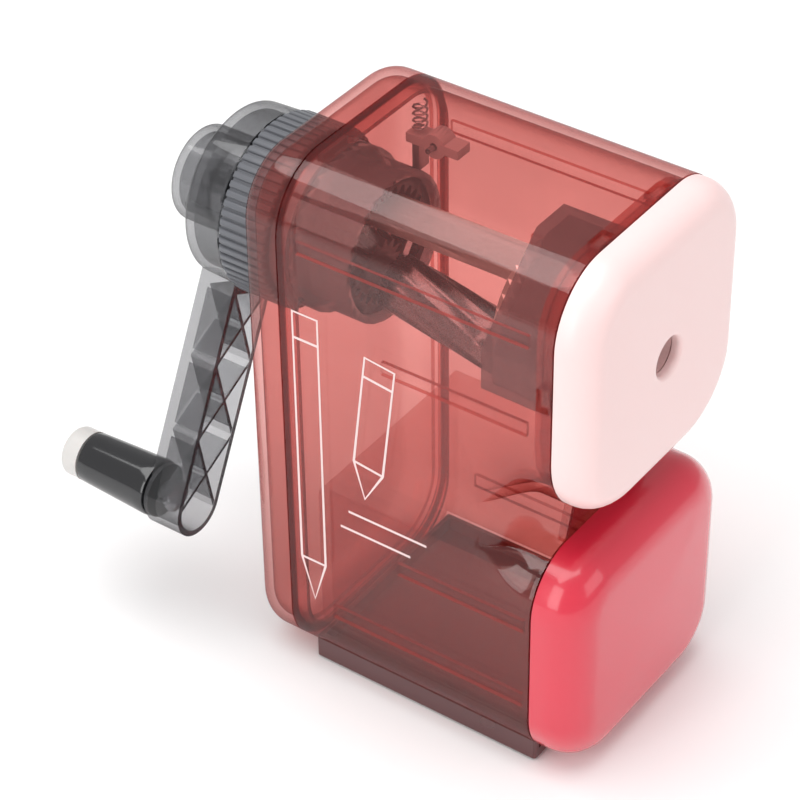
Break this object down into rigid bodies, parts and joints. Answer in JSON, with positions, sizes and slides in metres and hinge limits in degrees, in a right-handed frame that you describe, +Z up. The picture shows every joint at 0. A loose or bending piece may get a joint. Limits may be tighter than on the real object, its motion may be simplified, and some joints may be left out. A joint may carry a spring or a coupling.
{
  "type": "hand-crank pencil sharpener",
  "caption": "Desktop pencil sharpener with a see-through casing, a hand crank at the back, a sprung chuck behind the pencil hole and a pull-out shavings drawer.",
  "frame": {"origin": "middle of the base's flat rest face", "axes": "+Z up, -Y towards the pencil hole and drawer front, crank at +Y, +X to the right seen from the front"},
  "size_m": [0.0626, 0.1226, 0.118],
  "materials": {
    "red_translucent": "clear moulded, polished",
    "pale_pink": "moulded, soft gloss",
    "gloss_red": "moulded, high gloss",
    "smoke_translucent": "clear smoke, polished",
    "grey_plastic": "moulded satin",
    "black_plastic": "moulded nylon",
    "milky_plastic": "cloudy moulded",
    "cast_zinc": "rough die casting",
    "steel": "machined",
    "rubber": "matte"
  },
  "bodies": {
    "body": {"front_shell": "red_translucent", "rear_cover": "red_translucent", "base_plate": "red_translucent", "non_slip_pad": "rubber", "front_plate": "pale_pink", "front_ring": "red_translucent", "bulkhead": "red_translucent", "pencil_guide": "pale_pink", "chuck_housing": "smoke_translucent", "chuck_screw_1": "steel", "chuck_screw_2": "steel", "jaw_spring_upper": "steel", "jaw_spring_lower": "steel", "mech_housing": "smoke_translucent", "ring_gear": "black_plastic", "shaft_bush": "black_plastic", "latch_pin": "steel", "latch_spring": "steel"},
    "jaw_top": {"jaw_upper": "grey_plastic"},
    "jaw_bottom": {"jaw_lower": "grey_plastic"},
    "drawer": {"drawer_front": "gloss_red", "drawer_tray": "red_translucent"},
    "collar": {"lock_collar": "grey_plastic"},
    "crank": {"crank_arm": "smoke_translucent", "hub_nut": "steel", "cutter_carrier": "cast_zinc", "cutter_pin": "steel", "handle_pin": "steel", "handle_washer": "black_plastic"},
    "cutter": {"helical_cutter": "steel", "cutter_pinion": "black_plastic"},
    "dial": {"adjuster_dial": "smoke_translucent"},
    "stop": {"point_stop": "steel", "adjuster_rod": "steel"},
    "handle": {"handle_sleeve": "smoke_translucent", "handle_cap": "milky_plastic"},
    "latch": {"latch_lever": "grey_plastic"}
  },
  "joints": [
    {"name": "crank_spin", "type": "hinge", "parent": "body", "child": "crank", "pos_m": [0, 0.04, 0.09015], "axis": [0, 1, 0], "continuous": true},
    {"name": "cutter_spin", "type": "hinge", "parent": "crank", "child": "cutter", "pos_m": [-0.00361, 0.0195, 0.08553], "axis": [0.0857, 0.9903, 0.1097], "continuous": true},
    {"name": "handle_spin", "type": "hinge", "parent": "crank", "child": "handle", "pos_m": [-0.0288, 0.07, 0.03188], "axis": [0, 1, 0], "continuous": true},
    {"name": "dial_turn", "type": "hinge", "parent": "crank", "child": "dial", "pos_m": [0, 0.065, 0.09015], "axis": [0, 1, 0], "range_deg": [0, 180]},
    {"name": "stop_slide", "type": "slide", "parent": "crank", "child": "stop", "axis": [0, 1, 0], "range_m": [-0.0006, 0]},
    {"name": "collar_twist", "type": "hinge", "parent": "body", "child": "collar", "pos_m": [0, 0.045, 0.09015], "axis": [0, -1, 0], "range_deg": [0, 30]},
    {"name": "drawer_slide", "type": "slide", "parent": "body", "child": "drawer", "axis": [0, -1, 0], "range_m": [0, 0.06]},
    {"name": "jaw_top_slide", "type": "slide", "parent": "body", "child": "jaw_top", "axis": [0, 0, 1], "range_m": [0, 0.003], "stiffness_N_per_m": 300, "springref_m": -0.002, "deforming": ["jaw_spring_upper"]},
    {"name": "jaw_bottom_slide", "type": "slide", "parent": "body", "child": "jaw_bottom", "axis": [0, 0, -1], "range_m": [0, 0.003], "stiffness_N_per_m": 300, "springref_m": -0.002, "deforming": ["jaw_spring_lower"]},
    {"name": "latch_swing", "type": "hinge", "parent": "body", "child": "latch", "pos_m": [0.012, 0.0208, 0.10835], "axis": [1, 0, 0], "range_deg": [0, 7], "stiffness_Nm_per_rad": 0.02, "springref_deg": -11.46, "deforming": ["latch_spring"]}
  ],
  "couplings": [
    {"joint": "cutter_spin", "follows": "crank_spin", "ratio": -1.75},
    {"joint": "stop_slide", "follows": "dial_turn", "m_per_rad": -0.00019099},
    {"joint": "jaw_bottom_slide", "follows": "jaw_top_slide", "ratio": 1}
  ]
}
